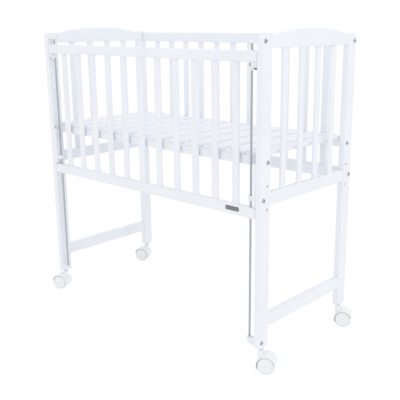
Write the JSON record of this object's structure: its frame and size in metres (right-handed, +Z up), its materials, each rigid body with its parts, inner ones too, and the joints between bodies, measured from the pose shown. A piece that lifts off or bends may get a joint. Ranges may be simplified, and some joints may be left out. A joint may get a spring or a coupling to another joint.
{
  "type": "bedside sleeper crib",
  "caption": "Slatted wooden bedside crib on castors, with arched ends, a raised slatted mattress base and one side that slides down on steel rods.",
  "frame": {"origin": "on the floor under the middle of the crib", "axes": "+X along the crib's length to the right as seen from the sliding side, which faces -Y; +Z up"},
  "size_m": [1.0282, 0.4886, 0.942],
  "materials": {
    "painted_wood": "white sprayed enamel on solid wood, satin",
    "moulded_nylon": "white injection-moulded nylon, fine matt texture",
    "rod_steel": "drawn steel rod, satin grey",
    "zinc_steel": "zinc-plated steel",
    "castor_plastic": "white moulded plastic, soft gloss",
    "castor_tread": "white moulded plastic wheels, smooth tread"
  },
  "bodies": {
    "frame": {"post_front_left": "painted_wood", "post_front_right": "painted_wood", "post_back_left": "painted_wood", "post_back_right": "painted_wood", "end_top_rail_left": "painted_wood", "end_bottom_rail_left": "painted_wood", "end_slats_left": "painted_wood", "end_stretcher_left": "painted_wood", "end_top_rail_right": "painted_wood", "end_bottom_rail_right": "painted_wood", "end_slats_right": "painted_wood", "end_stretcher_right": "painted_wood", "back_top_rail": "painted_wood", "back_bottom_rail": "painted_wood", "back_slats": "painted_wood", "base_rail_front": "painted_wood", "base_rail_back": "painted_wood", "base_laths": "painted_wood", "post_stop_strip_left": "painted_wood", "post_stop_strip_right": "painted_wood", "rod_top_bracket_left": "moulded_nylon", "rod_middle_bracket_left": "moulded_nylon", "rod_bottom_bracket_left": "moulded_nylon", "guide_rod_left": "rod_steel", "rod_top_bracket_right": "moulded_nylon", "rod_middle_bracket_right": "moulded_nylon", "rod_bottom_bracket_right": "moulded_nylon", "guide_rod_right": "rod_steel", "bracket_bolts": "zinc_steel", "back_side_bolts": "zinc_steel", "mattress_base_bolts": "zinc_steel", "castor_sockets": "castor_plastic"},
    "drop_side": {"drop_side_top_rail": "painted_wood", "drop_side_bottom_rail": "painted_wood", "drop_side_slats": "painted_wood", "catch_housing_left": "moulded_nylon", "catch_housing_right": "moulded_nylon", "guide_bushes_lower": "moulded_nylon", "guide_bushes_upper": "moulded_nylon"},
    "catch_left": {"catch_bolt_left": "rod_steel"},
    "catch_right": {"catch_bolt_right": "rod_steel"},
    "castor_front_left": {"castor_stem_front_left": "zinc_steel", "castor_hood_front_left": "castor_plastic"},
    "wheels_front_left": {"castor_wheels_front_left": "castor_tread", "castor_axle_front_left": "zinc_steel"},
    "castor_front_right": {"castor_stem_front_right": "zinc_steel", "castor_hood_front_right": "castor_plastic"},
    "wheels_front_right": {"castor_wheels_front_right": "castor_tread", "castor_axle_front_right": "zinc_steel"},
    "castor_back_left": {"castor_stem_back_left": "zinc_steel", "castor_hood_back_left": "castor_plastic"},
    "wheels_back_left": {"castor_wheels_back_left": "castor_tread", "castor_axle_back_left": "zinc_steel"},
    "castor_back_right": {"castor_stem_back_right": "zinc_steel", "castor_hood_back_right": "castor_plastic"},
    "wheels_back_right": {"castor_wheels_back_right": "castor_tread", "castor_axle_back_right": "zinc_steel"}
  },
  "joints": [
    {"name": "drop_side_slide", "type": "slide", "parent": "frame", "child": "drop_side", "axis": [0, 0, -1], "range_m": [0, 0.238]},
    {"name": "catch_left_slide", "type": "slide", "parent": "drop_side", "child": "catch_left", "axis": [-1, 0, 0], "range_m": [0, 0.007]},
    {"name": "catch_right_slide", "type": "slide", "parent": "drop_side", "child": "catch_right", "axis": [1, 0, 0], "range_m": [0, 0.007]},
    {"name": "castor_front_left_swivel", "type": "hinge", "parent": "frame", "child": "castor_front_left", "pos_m": [-0.4625, -0.202, 0.066], "axis": [0, 0, 1], "continuous": true},
    {"name": "wheels_front_left_roll", "type": "hinge", "parent": "castor_front_left", "child": "wheels_front_left", "pos_m": [-0.47839, -0.21045, 0.025], "axis": [0.4695, -0.8829, 0], "continuous": true},
    {"name": "castor_front_right_swivel", "type": "hinge", "parent": "frame", "child": "castor_front_right", "pos_m": [0.4625, -0.202, 0.066], "axis": [0, 0, 1], "continuous": true},
    {"name": "wheels_front_right_roll", "type": "hinge", "parent": "castor_front_right", "child": "wheels_front_right", "pos_m": [0.47839, -0.19355, 0.025], "axis": [-0.4695, 0.8829, 0], "continuous": true},
    {"name": "castor_back_left_swivel", "type": "hinge", "parent": "frame", "child": "castor_back_left", "pos_m": [-0.4625, 0.202, 0.066], "axis": [0, 0, 1], "continuous": true},
    {"name": "wheels_back_left_roll", "type": "hinge", "parent": "castor_back_left", "child": "wheels_back_left", "pos_m": [-0.47839, 0.19355, 0.025], "axis": [0.4695, -0.8829, 0], "continuous": true},
    {"name": "castor_back_right_swivel", "type": "hinge", "parent": "frame", "child": "castor_back_right", "pos_m": [0.4625, 0.202, 0.066], "axis": [0, 0, 1], "continuous": true},
    {"name": "wheels_back_right_roll", "type": "hinge", "parent": "castor_back_right", "child": "wheels_back_right", "pos_m": [0.47839, 0.21045, 0.025], "axis": [-0.4695, 0.8829, 0], "continuous": true}
  ]
}
